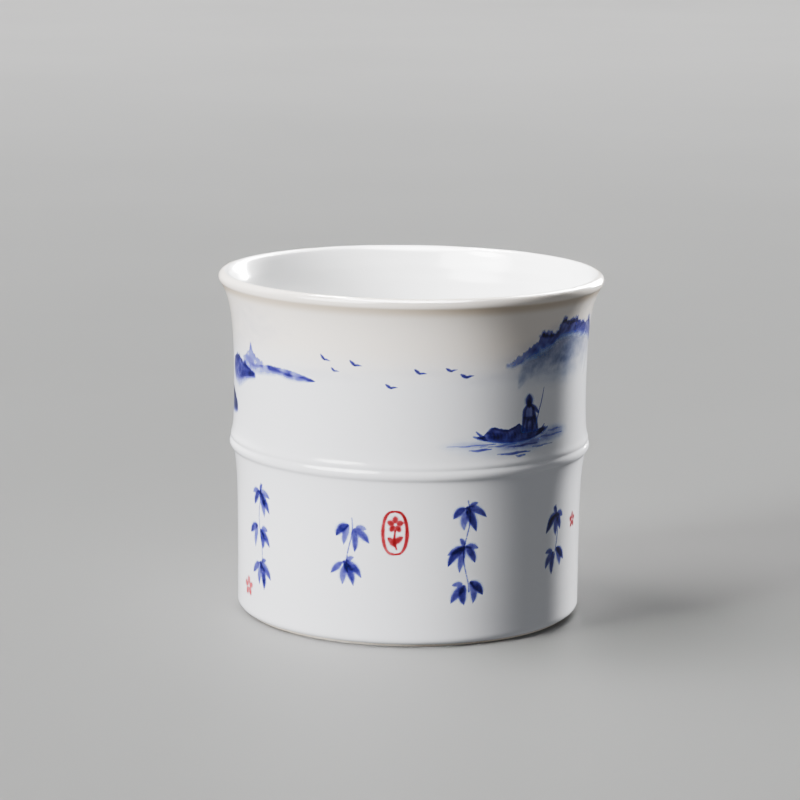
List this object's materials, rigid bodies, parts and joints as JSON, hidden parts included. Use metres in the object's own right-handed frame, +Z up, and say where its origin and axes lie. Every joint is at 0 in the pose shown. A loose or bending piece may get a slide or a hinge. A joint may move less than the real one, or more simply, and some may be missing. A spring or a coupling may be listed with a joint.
{
  "type": "teacup",
  "caption": "Handle-less glazed porcelain tea cup with a raised bamboo node ring, a flared rounded lip, a low foot ring and painted blue and red decoration.",
  "frame": {"origin": "centre of the foot ring's standing face, on the table", "axes": "+Z up along the cup's axis; -Y is the front, the side with the red oval; +X is to the right seen from the front"},
  "size_m": [0.07, 0.07, 0.0624],
  "materials": {
    "biscuit": "fired unglazed porcelain, matt",
    "bare_foot": "bare biscuit, ground flat, matt",
    "clear_glaze": "glossy clear glaze over white porcelain",
    "cobalt": "glossy cobalt blue brushwork",
    "pale_cobalt": "glossy pale cobalt wash",
    "iron_red": "glossy iron red enamel"
  },
  "bodies": {
    "root": {"biscuit_body": "biscuit", "foot_ring": "bare_foot", "outer_glaze": "clear_glaze", "inner_glaze": "clear_glaze", "base_glaze": "clear_glaze", "left_headland": "pale_cobalt", "shore_rock": "cobalt", "right_mountain": "cobalt", "back_range": "pale_cobalt", "birds": "cobalt", "boat": "cobalt", "boatman": "cobalt", "punt_pole": "cobalt", "water_strokes": "pale_cobalt", "leaf_column_1": "cobalt", "leaf_column_2": "cobalt", "leaf_column_3": "cobalt", "leaf_column_4": "cobalt", "leaf_column_5": "cobalt", "leaf_column_6": "cobalt", "leaf_column_7": "cobalt", "leaf_column_8": "cobalt", "leaf_column_9": "cobalt", "leaf_cartouche": "iron_red", "left_blossom": "iron_red", "right_blossom": "iron_red"}
  },
  "joints": []
}
